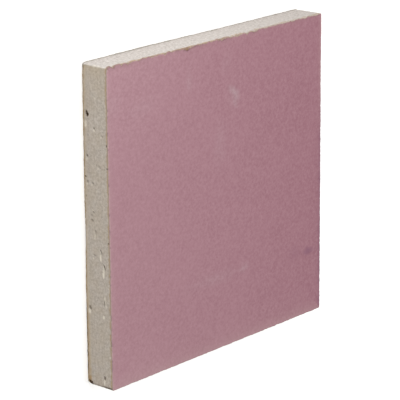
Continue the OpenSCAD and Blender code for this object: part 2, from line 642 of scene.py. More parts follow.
@dataclass(frozen=True)
class SawnGypsum:
    """Gypsum plaster, cast as a foam and sawn: chalky, with a grain of crystals, pits and saw streaks."""

    colour: str = "#c6beb8"
    grey: str = "#b6ada6"
    chalk: str = "#e0d9d4"
    # Pale colour of freshly broken gypsum and saw dust, which also paints light and highlights
    fresh_and_painted_light: str = "#faf1e1"
    # Colour of painted shade: in voids, pits and the broken face, at the left edge's foot and on the top edge
    shade: str = "#44301c"
    # Colour of the yellowing, which also paints shade on all cut edges but the lit top one
    soil_and_shade: str = "#c6b08c"
    paper_shred: str = "#bb9b72"
    cloud: float = 7.0
    grain: float = 1.0
    streak_length: float = 6.0
    streak_width: float = 0.6
    streak_share: float = 0.3
    chalk_tones: tuple[float, float] = (0.52, 0.78)
    pit: float = 2.4
    pit_reach: tuple[float, float] = (0.06, 0.16)
    pit_shade: float = 0.25
    surface: MattSurface = MattSurface(0.92, 0.2, 0.12)

    def material(self) -> bpy.types.Material:
        """Builds the finish: matt and pale, with soft clouds, faint saw streaks and open pits with painted
        shade.

        Returns:
            The material, which reads its mesh's attributes for yellowing with painted shade, for paleness
            with painted light, for painted shade and for paper shreds.
        """
        material = bpy.data.materials.new("gypsum_sawn")
        tree = start_tree(material)
        place = add_node(tree, "TexCoord").outputs["Object"]
        cloud = add_node(tree, "TexNoise", None, {
            "Vector": place, "Scale": 1 / (self.cloud * MM), "Detail": 4.0, "Roughness": 0.6})
        grain = add_node(tree, "TexNoise", None, {
            "Vector": place, "Scale": 1 / (self.grain * MM), "Detail": 4.0, "Roughness": 0.7})
        # The saw ran along each edge, so the streaks are long both ways in plan and thin in height
        stretched = add_node(tree, "Mapping", {"vector_type": "TEXTURE"}, {
            "Vector": place,
            "Scale": (self.streak_length * MM, self.streak_length * MM, self.streak_width * MM)})
        streak = add_node(tree, "TexNoise", None, {"Vector": stretched, "Scale": 1.0, "Detail": 3.0})
        tone = add_node(tree, "Math", {"operation": "MULTIPLY_ADD"}, {
            0: streak, 1: self.streak_share, 2: grain})
        chalky = add_node(tree, "MapRange", None, {
            "Value": tone, "From Min": self.chalk_tones[0], "From Max": self.chalk_tones[1]})
        # The pits sink into the relief and take painted shade in their colour
        pits = add_node(tree, "TexVoronoi", None, {
            "Vector": place, "Scale": 1 / (self.pit * MM), "Randomness": 1.0})
        pit_depth = add_node(tree, "MapRange", {"interpolation_type": "SMOOTHSTEP"}, {
            "Value": pits.outputs["Distance"], "From Min": self.pit_reach[0], "From Max": self.pit_reach[1],
            "To Min": self.pit_shade, "To Max": 0.0})
        soil_and_shade, fresh_and_painted_light, shred, painted_shade = (
            add_node(tree, "Attribute", {"attribute_name": name}).outputs["Fac"]
            for name in ("soil_and_shade", "fresh_and_painted_light", "shred", "painted_shade"))
        # Painted shade from the pits and from the mesh's attribute, whichever is darker
        dark = add_node(tree, "Math", {"operation": "MAXIMUM"}, {0: pit_depth, 1: painted_shade})
        colour = to_linear(self.grey)
        for cover, over in (
            (cloud, self.colour),
            (chalky, self.chalk),
            (soil_and_shade, self.soil_and_shade),
            (fresh_and_painted_light, self.fresh_and_painted_light),
            (shred, self.paper_shred),
            (dark, self.shade),
        ):
            colour = add_node(tree, "Mix", {"data_type": "RGBA"}, {
                MIX_FACTOR: cover, MIX_A: colour, MIX_B: to_linear(over)}).outputs[MIX_RESULT]
        height = add_node(tree, "Math", {"operation": "SUBTRACT"}, {0: tone, 1: pit_depth})
        self.surface.close(tree, colour, height)
        return material


@dataclass(frozen=True)
class PinkLiner:
    """Dyed multi-ply paper, calendered smooth: matt, faintly clouded, with short fibres in its surface."""

    colour: str = "#a06f7b"
    deep: str = "#94626e"
    pale: str = "#aa7c86"
    # Pale colour of saw dust, which also paints a sheen on the face's left
    dust: str = "#eeccd0"
    plaster: str = "#c8bebe"
    bruise: str = "#63345c"
    worn: str = "#c8a9a6"
    scuff: str = "#5e4634"
    # Cover of saw dust and painted sheen at the left edge
    dust_and_sheen: float = 0.155
    cloud: float = 16.0
    mottle: float = 1.1
    fibre_length: float = 2.0
    fibre_width: float = 0.4
    fibre_turns: tuple[float, ...] = (12.0, 71.0, 128.0)
    fibre_share: float = 0.25
    pale_tones: tuple[float, float] = (0.66, 1.09)
    wander: float = 5.0
    surface: MattSurface = MattSurface(0.7, 0.35, 0.05, 0.5)

    def material(self, half_width: float, half_length: float) -> bpy.types.Material:
        """Builds the finish: a soft pink that varies a little, with smudges of dust and painted sheen, and a
        worn rim.

        Args:
            half_width: half the face's width, in millimetres.
            half_length: half the face's length, in millimetres.

        Returns:
            The material, which reads the attributes rim, scuff and grime of its mesh.
        """
        material = bpy.data.materials.new("pink_liner_paper")
        tree = start_tree(material)
        place = add_node(tree, "TexCoord").outputs["Object"]
        cloud = add_node(tree, "TexNoise", None, {
            "Vector": place, "Scale": 1 / (self.cloud * MM), "Detail": 3.0})
        mottle = add_node(tree, "TexNoise", None, {
            "Vector": place, "Scale": 1 / (self.mottle * MM), "Detail": 3.0, "Roughness": 0.6})
        tone = mottle
        # Real fibres are a few hundredths of a millimetre wide: these are wide enough to show
        for turn in self.fibre_turns:
            laid = add_node(tree, "Mapping", {"vector_type": "TEXTURE"}, {
                "Vector": place, "Rotation": (0.0, 0.0, math.radians(turn)),
                "Scale": (self.fibre_length * MM, self.fibre_width * MM, MM)})
            fibre = add_node(tree, "TexNoise", None, {"Vector": laid, "Scale": 1.0, "Detail": 2.0})
            tone = add_node(tree, "Math", {"operation": "MULTIPLY_ADD"}, {
                0: fibre, 1: self.fibre_share, 2: tone})
        paler = add_node(tree, "MapRange", None, {
            "Value": tone, "From Min": self.pale_tones[0], "From Max": self.pale_tones[1]})
        # Saw dust and a painted sheen lie pale over the face, thinning out from the left edge to the right
        # one
        across = add_node(tree, "SeparateXYZ", None, {0: place})
        dust_and_sheen = add_node(tree, "MapRange", None, {
            "Value": across, "From Min": -half_width * MM, "From Max": half_width * MM,
            "To Min": self.dust_and_sheen, "To Max": 0.0})
        # Smudges wander from their ellipse by a noise, so that they have no outline
        drift = add_node(tree, "TexNoise", None, {
            "Vector": place, "Scale": 1 / (self.wander * MM), "Detail": 3.0})
        shift = add_node(tree, "VectorMath", {"operation": "MULTIPLY_ADD"}, {
            0: drift.outputs["Color"], 1: (self.wander * MM,) * 3, 2: place})
        rim, scuff, grime = (
            add_node(tree, "Attribute", {"attribute_name": name}).outputs["Fac"]
            for name in ("rim", "scuff", "grime"))
        colour = to_linear(self.deep)
        for cover, marks, over in (
            (cloud, (), self.colour),
            (paler, (), self.pale),
            (dust_and_sheen, DUST_AND_SHEEN, self.dust),
            (0.0, SMEARS, self.plaster),
            (rim, (), self.worn),
            (scuff, (), self.scuff),
            (grime, BRUISES, self.bruise),
        ):
            for mark in marks:
                centre = ((2 * mark.x_share - 1) * half_width, (1 - 2 * mark.y_share) * half_length)
                middle = [(c + self.wander / 2) * MM for c in centre]
                own = add_node(tree, "Mapping", {"vector_type": "TEXTURE"}, {
                    "Vector": shift, "Location": (*middle, 0.0),
                    "Rotation": (0.0, 0.0, math.radians(mark.turn)),
                    "Scale": (mark.width * MM, mark.height * MM, 1.0)})
                reach = add_node(tree, "VectorMath", {"operation": "LENGTH"}, {0: own})
                soft = add_node(tree, "MapRange", {"interpolation_type": "SMOOTHSTEP"}, {
                    "Value": reach.outputs["Value"], "To Min": 2 * mark.strength, "To Max": 0.0})
                cover = add_node(tree, "Math", {"operation": "MULTIPLY_ADD"}, {
                    0: soft, 1: mottle, 2: cover})
            colour = add_node(tree, "Mix", {"data_type": "RGBA"}, {
                MIX_FACTOR: cover, MIX_A: colour, MIX_B: to_linear(over)}).outputs[MIX_RESULT]
        self.surface.close(tree, colour, tone)
        return material


@dataclass(frozen=True)
class KraftPaper:
    """Unbleached recycled paper: brown, matt, with lighter and darker fibres and flecks."""

    name: str = "brown_kraft_paper"
    colour: str = "#a08a6c"
    dark: str = "#83694c"
    light: str = "#b7a486"
    fleck: str = "#5f4c38"
    grime: str = "#2b2018"
    dust: str = "#d6d0c7"
    cloud: float = 9.0
    fibre_length: float = 3.5
    fibre_width: float = 0.4
    fibre_turns: tuple[float, ...] = (4.0, 52.0, 117.0)
    light_tones: tuple[float, float] = (0.45, 0.8)
    fleck_spacing: float = 3.2
    fleck_reach: tuple[float, float] = (0.04, 0.09)
    fleck_cover: float = 0.55
    surface: MattSurface = MattSurface(0.85, 0.25, 0.06, 0.6)

    def material(self) -> bpy.types.Material:
        """Builds the finish: clouded brown, felted with fibres, with dark flecks of reused print and bark.

        Returns:
            The material, which reads the attributes rim and grime of its mesh.
        """
        material = bpy.data.materials.new(self.name)
        tree = start_tree(material)
        place = add_node(tree, "TexCoord").outputs["Object"]
        cloud = add_node(tree, "TexNoise", None, {
            "Vector": place, "Scale": 1 / (self.cloud * MM), "Detail": 5.0, "Roughness": 0.65})
        fibres = cloud
        # Real fibres are a few hundredths of a millimetre wide: these are wide enough to show
        for turn in self.fibre_turns:
            laid = add_node(tree, "Mapping", {"vector_type": "TEXTURE"}, {
                "Vector": place, "Rotation": (0.0, 0.0, math.radians(turn)),
                "Scale": (self.fibre_length * MM, self.fibre_width * MM, self.fibre_width * MM)})
            fibre = add_node(tree, "TexNoise", None, {"Vector": laid, "Scale": 1.0, "Detail": 2.0})
            fibres = add_node(tree, "Math", {"operation": "MAXIMUM"}, {0: fibres, 1: fibre})
        lighter = add_node(tree, "MapRange", None, {
            "Value": fibres, "From Min": self.light_tones[0], "From Max": self.light_tones[1]})
        flecks = add_node(tree, "TexVoronoi", None, {
            "Vector": place, "Scale": 1 / (self.fleck_spacing * MM), "Randomness": 1.0})
        flecked = add_node(tree, "MapRange", {"interpolation_type": "SMOOTHSTEP"}, {
            "Value": flecks.outputs["Distance"], "From Min": self.fleck_reach[0],
            "From Max": self.fleck_reach[1], "To Min": self.fleck_cover, "To Max": 0.0})
        rim, grime = (
            add_node(tree, "Attribute", {"attribute_name": name}).outputs["Fac"]
            for name in ("rim", "grime"))
        colour = to_linear(self.dark)
        for cover, over in (
            (cloud, self.colour),
            (lighter, self.light),
            (flecked, self.fleck),
            (rim, self.dust),
            (grime, self.grime),
        ):
            colour = add_node(tree, "Mix", {"data_type": "RGBA"}, {
                MIX_FACTOR: cover, MIX_A: colour, MIX_B: to_linear(over)}).outputs[MIX_RESULT]
        self.surface.close(tree, colour, fibres)
        return material


@dataclass(frozen=True)
class ArrisWear:
    """How the left edge's back arris is rubbed in: most at its top end, least at its foot."""

    down: Slope = Slope(0.66, 0.75, 0.0)
    head: Bell = Bell(0.3, 0.0, 2.5)
    proud: float = 0.04
    corner: Bell = Bell(0.6, 0.0, 0.9)
    neighbours: int = 3

    def depths(self, outline: Outline) -> np.ndarray:
        """Gives the wear at each outline point.

        It falls off in a straight line down the edge and in bell curves on both sides of the top left
        corner, and is then a mean over some neighbours on either side.

        Args:
            outline: the board's outline.

        Returns:
            Distances inwards, in millimetres.
        """
        down = self.down.at(outline.side_shares()) + self.head.at(outline.along) - self.proud
        beside = self.corner.at(outline.from_top_left())
        wear = down * outline.on(Edge.LEFT) + beside * outline.on(Edge.TOP)
        shifts = range(-self.neighbours, self.neighbours + 1)
        return sum(np.roll(wear, shift) for shift in shifts) / len(shifts)


@dataclass
class CutFaceWear:
    """Painted shadow, shade and light, with saw dust, yellowing and paper shreds, on the core's cut faces, as
    covers from 0 to 1.
    """

    outline: Outline
    heights: np.ndarray
    bottom: float
    top: float
    # Painted contact shadow along the left edge's foot
    line: Bell = Bell(0.85, 0.6, 0.35)
    line_low: float = 0.4
    line_rise: Slope = Slope(0.6, 0.55, 0.75)
    line_bare: Slope = Slope(1.0, 2.0, 3.5)
    # Painted shade on the top edge: a little all along, more towards its right end, and darker along the back
    # paper
    film: float = 0.04
    right_shade: Slope = Slope(0.11, 70.0, 0.0)
    back_darkening: float = 0.08
    back_darkening_height: float = 0.8
    # Painted light on the left edge, partly saw dust, stronger beside the back paper, and a painted highlight
    # on the top left arris
    dust_and_light_fall: Slope = Slope(0.1, 7.2, 1.2)
    dust_and_light_low: float = 0.25
    dust_and_light_spread: Bell = Bell(0.75, 0.55, 0.28)
    fringe_fall: Slope = Slope(1.0, 2.08, 0.48)
    fringe: float = 0.19
    fringe_foot: Slope = Slope(0.18, 0.6, 0.8)
    arris: float = 0.5
    arris_width: float = 0.7
    arris_ragged: Noise = Noise(0.5, 0.9, 107)
    # Yellowing of the four edges, which also paints shade on all but the lit top edge, and of the left edge's
    # back arris and top end
    yellow_and_shade: PerEdge = (0.29, 0.22, 0.18, 0.0)
    yellow_noise: Noise = Noise(0.25, 2.5, 106)
    rubbed_fall: Slope = Slope(1.0, 1.8, 0.6)
    rubbed: float = 0.25
    rubbed_foot: Slope = Slope(0.25, 0.6, 0.8)
    head: float = 0.26
    head_length: float = 6.0
    # Paper shreds beside the back paper and the face paper, and crushed patches by their place from the foot
    shred_noise: Noise = Noise(1.0, 1.2, 105)
    shred_foot: Slope = Slope(1.0, 0.68, 0.78)
    back_width: float = 0.35
    back_width_foot: float = 0.6
    back_width_ragged: float = 0.3
    back_full: float = 1.3
    back_cover: float = 0.3
    back_cover_foot: float = 0.25
    back_cover_top: float = 0.05
    face_width: float = 0.6
    face_width_ragged: float = 0.5
    face_full: float = 1.2
    face_cover: float = 0.8
    nick: Slope = Slope(0.2, 1.6, 0.6)
    bite: Slope = Slope(-0.7, 0.0, 0.2)
    patches: tuple[tuple[float, Slope], ...] = ((2.4, Slope(0.85, 1.8, 0.8)), (5.4, Slope(0.425, 1.8, 0.8)))
    patch_top: Slope = Slope(1.0, 1.98, 1.08)

    def dirt_and_shade(self) -> np.ndarray:
        """Gives painted shade: a painted contact shadow along the left edge's foot, and painted shade on the
        top edge.

        Returns:
            Cover from 0 to 1, one row for each height.
        """
        outline, up = self.outline, self.heights - self.bottom
        from_foot = np.maximum(outline.length - outline.along, self.line.middle)
        # Painted contact shadow along the left edge's foot
        line = self.line.at(from_foot) * self.line_bare.at(up)
        line = line * (self.line_low + self.line_rise.at(up / (self.top - self.bottom)))
        # Painted shade on the top edge, most at its right end and along the back paper
        film = self.film + self.right_shade.at(outline.along) + self.back_darkening * np.exp(-up / self.back_darkening_height)
        return line * outline.on(Edge.LEFT) + film * outline.on(Edge.TOP)

    def pale(self) -> np.ndarray:
        """Gives the left edge's paleness, partly saw dust and partly painted light: most halfway down it, on
        the half towards the back.

        Along the edge it follows a bell curve, and across it a straight fall from the back. A fringe of
        painted light beside the back paper adds to it, most at the foot. The top left arris has a painted
        highlight in a narrow bell curve whose width smooth noise varies.

        Returns:
            Cover from 0 to 1, one row for each height.
        """
        outline, up = self.outline, self.heights - self.bottom
        shares, left = outline.side_shares(), outline.on(Edge.LEFT)
        # Painted light, partly saw dust: lighter towards the back paper, halfway down, and in a fringe beside
        # the back paper
        cover = self.dust_and_light_fall.at(up) * (self.dust_and_light_low + self.dust_and_light_spread.at(shares))
        cover = cover + self.fringe_fall.at(up) * (self.fringe + self.fringe_foot.at(shares))
        # Painted highlight on the top left arris
        ragged = self.arris_ragged.at(self.heights, 0.0, outline.perimeter())
        arris = Bell(self.arris, 0.0, self.arris_width + ragged).at(outline.from_top_left())
        return cover * left + arris * (left | outline.on(Edge.TOP))

    def soil_and_shade(self) -> np.ndarray:
        """Gives how far handling has yellowed each cut edge, which also paints shade: the left one most, the
        top one not at all.

        Returns:
            Cover from 0 to 1, one row for each height.
        """
        outline, up = self.outline, self.heights - self.bottom
        # The edges' levels are partly painted shade, which leaves the lit top edge clean
        cover = outline.by_edge(*self.yellow_and_shade) * (1 + outline.noise(self.yellow_noise, self.heights))
        rubbed = self.rubbed_fall.at(up) * (self.rubbed + self.rubbed_foot.at(outline.side_shares()))
        head = self.head * np.exp(-outline.along / self.head_length)
        return cover + (rubbed + head) * outline.on(Edge.LEFT)

    def shreds(self) -> np.ndarray:
        """Gives where torn paper clings to the core: a thin fringe along both papers, wider at the left foot.

        The cover falls off linearly with the distance from the paper, over a width that smooth noise varies.
        Two crushed patches over the broken corner are products of two such falls.

        Returns:
            Cover from 0 to 1, one row for each height.
        """
        outline, up = self.outline, self.heights - self.bottom
        left, top = outline.on(Edge.LEFT), outline.on(Edge.TOP)
        foot = left * self.shred_foot.at(outline.side_shares())
        noise = outline.noise(self.shred_noise, up)
        width = self.back_width + self.back_width_foot * foot + self.back_width_ragged * noise
        back = np.clip(self.back_full - up / width, 0, 1)
        back = back * np.where(top, self.back_cover_top, self.back_cover + self.back_cover_foot * foot)
        width = self.face_width + self.face_width_ragged * noise[::-1]
        face = np.clip(self.face_full - (self.top - self.heights) / width, 0, 1)
        torn = self.nick.at(NICK.distance(outline)) + self.bite.at(bite_depths(outline))
        face = face * (self.face_cover + torn * top)
        from_foot = outline.length - outline.along
        crushed = sum(patch.at(np.abs(from_foot - place)) for place, patch in self.patches)
        crushed = crushed * self.patch_top.at(up) * left
        return np.maximum(np.maximum(back, face), crushed)


@dataclass
class GypsumCore:
    """The cast and sawn core: a band round the cut edges, closed by a flat underside and a flat top.

    The band's points stand in rows, one for each height. Lengths are in millimetres.
    """

    outline: Outline
    bottom: float
    top: float
    finish: SawnGypsum
    row_height: float = 0.3
    cap_insets: tuple[float, ...] = (40.0, 15.0, 4.0, 1.5)
    wear_height: float = 4.5
    # Air voids, with painted shade in their pockets and a painted highlight on a slender one's lip
    void_r: float = 0.8
    void_rise_share: float = 0.15
    void_ragged: float = 0.35
    void_cell: float = 0.7
    void_dark_share: float = 0.4
    slender: Slope = Slope(1.0, 2.0, 4.0)
    lip_start: float = 0.2
    lip_along: float = 0.7
    lip_across: float = 2.0
    # Flakes
    flake_scoop: Slope = Slope(0.35, 1.0, -1.0)
    flake_ragged: float = 0.4
    flake_cell: float = 0.6
    flake_first_seed: int = 300
    flake_sharpness: float = 1.6
    flake_reach: tuple[float, float] = (1.3, 1.6)
    # Sawn faces, with chips along the back paper and the face paper
    sawn_depth: float = 0.05
    wave: Noise = Noise(0.06, 7.0, 101)
    grit: Noise = Noise(0.03, 0.6, 102)
    back_chips: Noise = Noise(1.0, 1.3, 103)
    face_chips: Noise = Noise(1.0, 1.3, 104)
    chip_threshold: float = 0.35
    chip_depth: float = 0.35
    chip_height: float = 0.4
    # Broken corner and the painted shade on its broken face, along x, y and z
    break_size: tuple[float, float, float] = (0.8, 2.2, 3.4)
    break_shade_size: tuple[float, float, float] = (0.8, 1.33, 5.5)
    break_shade_fall: Slope = Slope(0.97, 1.5, 1.4)
    break_shade_top: Slope = Slope(1.0, 2.5, 2.0)
    heights: np.ndarray = field(init=False)

    def __post_init__(self) -> None:
        """Works out the heights of the rows, as a column."""
        rows = round((self.top - self.bottom) / self.row_height) + 1
        self.heights = np.linspace(self.bottom, self.top, rows)[:, None]

    def own_places(self, mark: Void | Flake, edge: Edge) -> tuple[np.ndarray, np.ndarray, np.ndarray]:
        """Turns the points of an edge into a void's or a flake's own directions.

        The places on the top edge count from its left end, which is the end of its run, so that they and
        their turns are mirrored there.

        Args:
            mark: the void or flake.
            edge: the edge that it is on.

        Returns:
            Which outline points are on the edge, and their places along and across the mark.
        """
        columns = np.flatnonzero(self.outline.on(edge))
        mirrored = edge is Edge.TOP
        share = 1 - mark.along_share if mirrored else mark.along_share
        turn = math.radians(-mark.turn if mirrored else mark.turn)
        x = self.outline.along[columns] - share * self.outline.run(edge)
        z = self.heights - (self.bottom + mark.across_share * (self.top - self.bottom))
        p = x * math.cos(turn) + z * math.sin(turn)
        q = z * math.cos(turn) - x * math.sin(turn)
        return columns, p, q

    def voids(self) -> tuple[np.ndarray, np.ndarray, np.ndarray]:
        """Gives the shape of the air voids and flakes at each point of the cut faces, and how they look.

        With p along a void's middle line and q across it, the half width follows an arc between the tips,
        w = sqrt(R^2 - p^2) - (R - r) with R = (h^2 + r^2) / 2r, and the depth is sqrt(w^2 - q^2), less the
        height of the middle line over the face. The voids get painted shade, and a slender one a painted
        highlight on its lip. A flake is an ellipse that is deepest at its first end and runs out to the
        other:
        d (1 - p / a) / 2.

        Returns:
            Depths in millimetres, painted shade, and paleness with painted highlight, each with one row for
            each height.
        """
        depth, dark, fresh_and_painted_light = np.zeros((3, len(self.heights), len(self.outline.along)))
        period = self.outline.perimeter()
        for number, void in enumerate(all_voids()):
            columns, p, q = self.own_places(void, void.edge)
            r = void.radius_share * self.void_r
            half = void.half_radii * r
            arc_r = (half**2 + r**2) / (2 * r)
            noise = Noise(self.void_ragged, self.void_cell, number)
            ragged = 1 + noise.at(self.outline.along[columns], self.heights, period)
            width = (np.sqrt(np.maximum(arc_r**2 - p**2, 0)) - (arc_r - r)) * ragged
            bowl = np.sqrt(np.maximum(np.maximum(width, 0) ** 2 - q**2, 0)) - self.void_rise_share * r
            bowl = np.maximum(bowl, 0)
            cover = Slope(1.0, 0.0, self.void_dark_share * r).at(bowl)
            # A slender void's lip gets a painted highlight where light would fall on it, and the rest of its
            # pocket painted shade
            lip = np.clip(self.lip_start + self.lip_along * p / half - self.lip_across * q / r, 0, 1)
            lip = lip * self.slender.at(void.half_radii)
            pocket = cover * (1 - lip) * void.shade
            for values, own in ((depth, bowl), (dark, pocket), (fresh_and_painted_light, cover * lip)):
                values[:, columns] = np.maximum(values[:, columns], own)
        for number, flake in enumerate(FLAKES):
            columns, p, q = self.own_places(flake, Edge.LEFT)
            p, q = p / flake.half_length, q / flake.half_width
            noise = Noise(self.flake_ragged, self.flake_cell, self.flake_first_seed + number)
            ragged = noise.at(self.outline.along[columns], self.heights, period)
            cover = np.clip(self.flake_sharpness * (1 - p**2 - q**2 + ragged), 0, 1)
            cover = cover * (np.abs(p) < self.flake_reach[0]) * (np.abs(q) < self.flake_reach[1])
            scoop = cover * self.flake_scoop.at(p)
            # The pale is freshly broken gypsum, with a painted highlight where it lies on a void's lower lip
            pale = flake.cover * cover * (1 - dark[:, columns])
            for values, own in ((depth, scoop), (fresh_and_painted_light, pale)):
                values[:, columns] = np.maximum(values[:, columns], own)
        return depth, dark, fresh_and_painted_light

    def grain(self) -> np.ndarray:
        """Gives the unevenness of the sawn face: a slow wave, a fine grain and chips along both papers.

        Each is smooth noise. A chip is the noise's part over a threshold, and it fades with the distance
        from the paper as exp(-d / chip height).

        Returns:
            Depths in millimetres, one row for each height.
        """
        up, down = self.heights - self.bottom, self.top - self.heights
        depth = self.sawn_depth + self.outline.noise(self.wave, up) + self.outline.noise(self.grit, up)
        for noise, distance in ((self.back_chips, up), (self.face_chips, down)):
            chips = np.maximum(self.outline.noise(noise, distance) - self.chip_threshold, 0)
            depth = depth + self.chip_depth * chips * np.exp(-distance / self.chip_height)
        return depth

    def break_corner(self, rings: np.ndarray) -> tuple[np.ndarray, np.ndarray]:
        """Breaks the core's lower left corner off along a plane, and paints shade on the broken face.

        With n the inverse lengths of the break along x, y and z, a point with n . p under 1 moves to the
        plane n . p = 1 along n. The painted shade goes a little past the break's rim, on the same sort of
        plane.

        Args:
            rings: points in millimetres.

        Returns:
            The points, those at the corner moved in, and their painted shade from 0 to 1.
        """
        places = rings - [-self.outline.width / 2, -self.outline.length / 2, self.bottom]
        normal = 1 / np.array(self.break_size)
        short = np.maximum(1 - places @ normal, 0)
        # Painted shade on the broken face, and a little past its rim
        dirt_and_shade = self.break_shade_fall.at(places @ (1 / np.array(self.break_shade_size)))
        dirt_and_shade = dirt_and_shade * self.break_shade_top.at(places[..., 2])
        return rings + short[..., None] * normal / (normal @ normal), dirt_and_shade

    def build(self) -> bpy.types.Object:
        """Makes the core's closed mesh and dresses it.

        Returns:
            The object, in place of the CAD core.
        """
        holes, dark, fresh_and_painted_light = self.voids()
        worn = ArrisWear().depths(self.outline) * np.exp(-(self.heights - self.bottom) / self.wear_height)
        depth = holes + self.grain() + worn
        side = np.empty((*depth.shape, 3))
        side[..., :2] = self.outline.points - depth[..., None] * self.outline.normals
        side[..., 2] = self.heights
        side, break_shade = self.break_corner(side)
        low_cap = np.empty((len(self.cap_insets), *side.shape[1:]))
        low_cap[..., :2] = [self.outline.inset(inset) for inset in self.cap_insets]
        low_cap[..., 2] = self.bottom
        high_cap = low_cap[::-1].copy()
        high_cap[..., 2] = self.top
        poles = np.array([[0, 0, self.bottom], [0, 0, self.top]])
        piece = closed_mesh("sawn_gypsum_core", np.concatenate([low_cap, side, high_cap]), poles)
        wear = CutFaceWear(self.outline, self.heights, self.bottom, self.top)
        # The attributes: painted shade in the voids, on the broken face, at the left edge's foot and on the
        # top edge; paleness, partly painted light and highlight; yellowing, partly painted shade; paper
        # shreds
        looks = {
            "painted_shade": np.maximum(np.maximum(dark, break_shade), wear.dirt_and_shade()),
            "fresh_and_painted_light": np.maximum(fresh_and_painted_light, wear.pale()),
            "soil_and_shade": wear.soil_and_shade(),
            "shred": wear.shreds(),
        }
        clean = np.zeros(low_cap.shape[:2])
        for name, values in looks.items():
            add_attribute(piece, name, np.concatenate([clean, values, clean]))
        piece.data.materials.append(self.finish.material())
        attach(piece, BODY)
        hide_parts("gypsum_core")
        return piece


